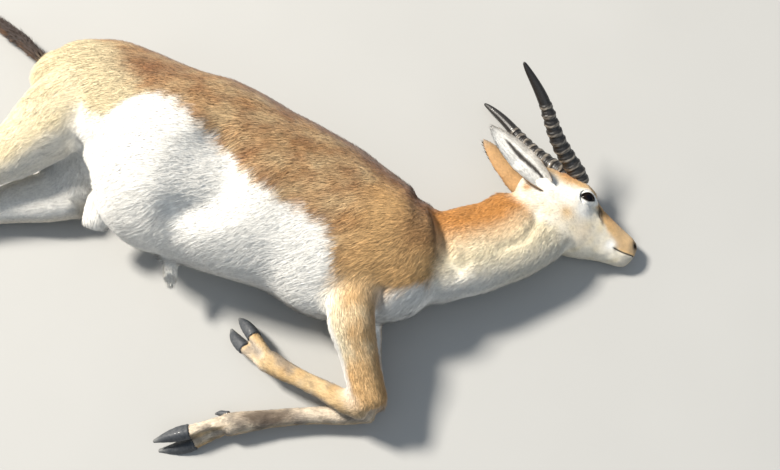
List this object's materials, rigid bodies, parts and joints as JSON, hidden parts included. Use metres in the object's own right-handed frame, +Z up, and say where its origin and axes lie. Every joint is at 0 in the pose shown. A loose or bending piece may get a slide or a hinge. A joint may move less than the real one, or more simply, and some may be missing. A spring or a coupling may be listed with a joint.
{
  "type": "blackbuck",
  "caption": "Young male blackbuck lying flat on its left side, a life-size still model with ringed horns, folded forelegs and hind legs stretched back.",
  "frame": {"origin": "centre of the object's box, at the level of the ground it lies on", "axes": "+Z up, +X towards the head, +Y towards the animal's back, so that its right side faces up"},
  "size_m": [1.5978, 0.922, 0.2614],
  "materials": {
    "coat": "short lying hair, tan above and white below",
    "white_coat": "short lying white hair",
    "tail_hair": "longer brown hair",
    "horn": "ringed horn, semi-matt, smooth at the tip",
    "hoof": "worn dark horn, semi-matt",
    "eye": "wet and glossy"
  },
  "bodies": {
    "root": {"torso": "coat", "neck": "coat", "tail": "tail_hair", "scrotum": "white_coat", "sheath": "white_coat", "foreleg_right_upper": "coat", "foreleg_right_cannon": "coat", "foreleg_right_hoof_upper": "hoof", "foreleg_right_hoof_under": "hoof", "foreleg_right_dewclaw_upper": "hoof", "foreleg_right_dewclaw_under": "hoof", "foreleg_left_upper": "coat", "foreleg_left_cannon": "coat", "foreleg_left_hoof_upper": "hoof", "foreleg_left_hoof_under": "hoof", "foreleg_left_dewclaw_upper": "hoof", "foreleg_left_dewclaw_under": "hoof", "hindleg_right_upper": "coat", "hindleg_right_gaskin": "coat", "hindleg_right_cannon": "coat", "hindleg_right_hoof_upper": "hoof", "hindleg_right_hoof_under": "hoof", "hindleg_right_dewclaw_upper": "hoof", "hindleg_right_dewclaw_under": "hoof", "hindleg_left_upper": "coat", "hindleg_left_gaskin": "coat", "hindleg_left_cannon": "coat", "hindleg_left_hoof_upper": "hoof", "hindleg_left_hoof_under": "hoof", "hindleg_left_dewclaw_upper": "hoof", "hindleg_left_dewclaw_under": "hoof", "head": "coat", "horn_right": "horn", "horn_left": "horn", "eye_right": "eye", "eye_left": "eye", "ear_right": "white_coat", "ear_left": "coat"}
  },
  "joints": []
}
